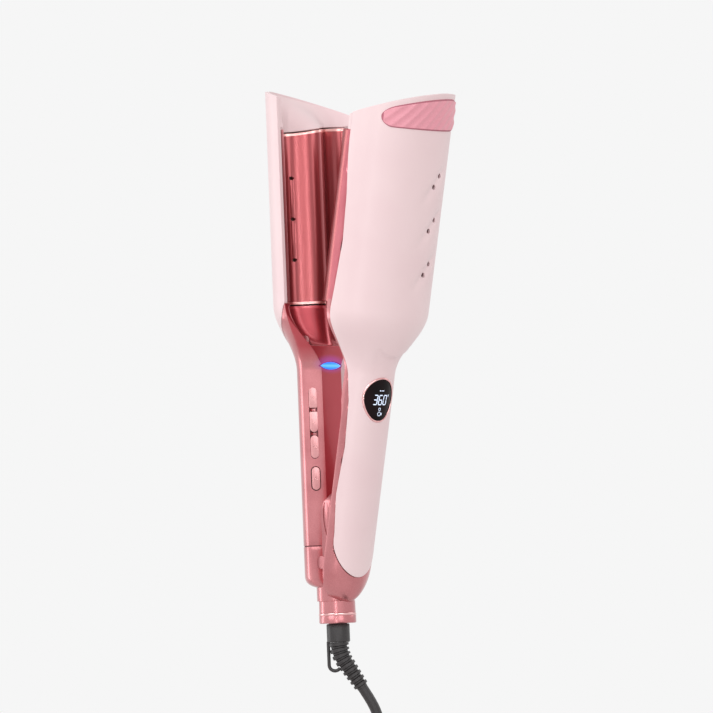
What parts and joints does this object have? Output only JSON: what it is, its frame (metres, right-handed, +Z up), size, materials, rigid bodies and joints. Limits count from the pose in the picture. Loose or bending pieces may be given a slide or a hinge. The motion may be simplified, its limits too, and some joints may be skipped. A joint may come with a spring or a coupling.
{
  "type": "hair waver",
  "caption": "Hand-held waver with two sprung arms carrying interlocking wave-shaped hot plates, handle buttons, a display and a swivel mains cord",
  "frame": {"origin": "on the plane where the closed jaws meet, at the foot of the two handles, 10.3 mm below the hinge pin's axis", "axes": "+Z up along the rear arm to its jaw, +X along the hinge pin, +Y out of the rear arm's back; the front arm is on the -Y side"},
  "size_m": [0.0711, 0.1238, 0.5699],
  "materials": {
    "pale_shell": "pearl satin paint",
    "rose_frame": "metallic rose lacquer",
    "hot_plate": "glossy tourmaline coat on aluminium",
    "rose_pad": "soft touch, ribbed",
    "rose_trim": "plated rose trim",
    "button_rose": "metallic rose lacquer",
    "blue_light": "lit window",
    "display_black": "black glass",
    "black_rubber": "soft matte",
    "tie_black": "matte",
    "brass": "plated",
    "steel": "plain",
    "insulator": "mica and high temperature plastic",
    "circuit_board": "solder mask",
    "wire_red": "silicone sleeve"
  },
  "bodies": {
    "rear_arm": {"rear_shell": "pale_shell", "rear_frame": "rose_frame", "rear_plate": "hot_plate", "rear_carrier": "insulator", "rear_heaters": "insulator", "rear_sensor": "insulator", "rear_tip": "pale_shell", "rear_pad": "rose_pad", "rear_grip": "rose_frame", "neck_plugs": "rose_frame", "light_window": "blue_light", "light_board": "circuit_board", "main_board": "circuit_board", "button_bezel": "rose_frame", "switch_board": "circuit_board", "end_cap": "rose_frame", "hinge_post": "rose_frame", "hinge_pin": "steel", "hinge_spring": "steel", "collar": "rose_frame", "collar_ring": "rose_trim", "rear_screws": "steel", "rear_wires": "wire_red"},
    "front_arm": {"front_shell": "pale_shell", "front_frame": "rose_frame", "front_plate": "hot_plate", "front_carrier": "insulator", "front_heaters": "insulator", "front_sensor": "insulator", "front_tip": "pale_shell", "front_pad": "rose_pad", "display_bezel": "rose_trim", "display_glass": "display_black", "display_board": "circuit_board", "front_end": "rose_frame", "hinge_cheeks": "steel", "front_screws": "steel", "front_wires": "wire_red"},
    "plus_button": {"plus_button": "button_rose"},
    "minus_button": {"minus_button": "button_rose"},
    "mode_button": {"mode_button": "button_rose"},
    "power_button": {"power_button": "button_rose"},
    "cord": {"swivel_stub": "black_rubber", "strain_relief": "black_rubber", "hanging_loop": "black_rubber", "cord_lead": "black_rubber", "cord_hank": "black_rubber", "cord_tail": "black_rubber", "cord_tie": "tie_black", "plug_body": "black_rubber", "plug_blades": "brass"}
  },
  "joints": [
    {"name": "arm_hinge", "type": "hinge", "parent": "rear_arm", "child": "front_arm", "pos_m": [0, 0, 0.0103], "axis": [1, 0, 0], "range_deg": [-13.8, 0], "stiffness_Nm_per_rad": 1.5, "springref_deg": 28.65},
    {"name": "plus_press", "type": "slide", "parent": "rear_arm", "child": "plus_button", "axis": [0.5746, 0.8184, 0], "range_m": [0, 0.0008], "stiffness_N_per_m": 900, "springref_m": -0.0012},
    {"name": "minus_press", "type": "slide", "parent": "rear_arm", "child": "minus_button", "axis": [0.5746, 0.8184, 0], "range_m": [0, 0.0008], "stiffness_N_per_m": 900, "springref_m": -0.0012},
    {"name": "mode_press", "type": "slide", "parent": "rear_arm", "child": "mode_button", "axis": [0.5746, 0.8184, 0], "range_m": [0, 0.0008], "stiffness_N_per_m": 900, "springref_m": -0.0012},
    {"name": "power_press", "type": "slide", "parent": "rear_arm", "child": "power_button", "axis": [0.5746, 0.8184, 0], "range_m": [0, 0.0008], "stiffness_N_per_m": 900, "springref_m": -0.0012},
    {"name": "cord_swivel", "type": "hinge", "parent": "rear_arm", "child": "cord", "pos_m": [0, 0.0033, -0.03], "axis": [0, 0, 1], "continuous": true}
  ]
}
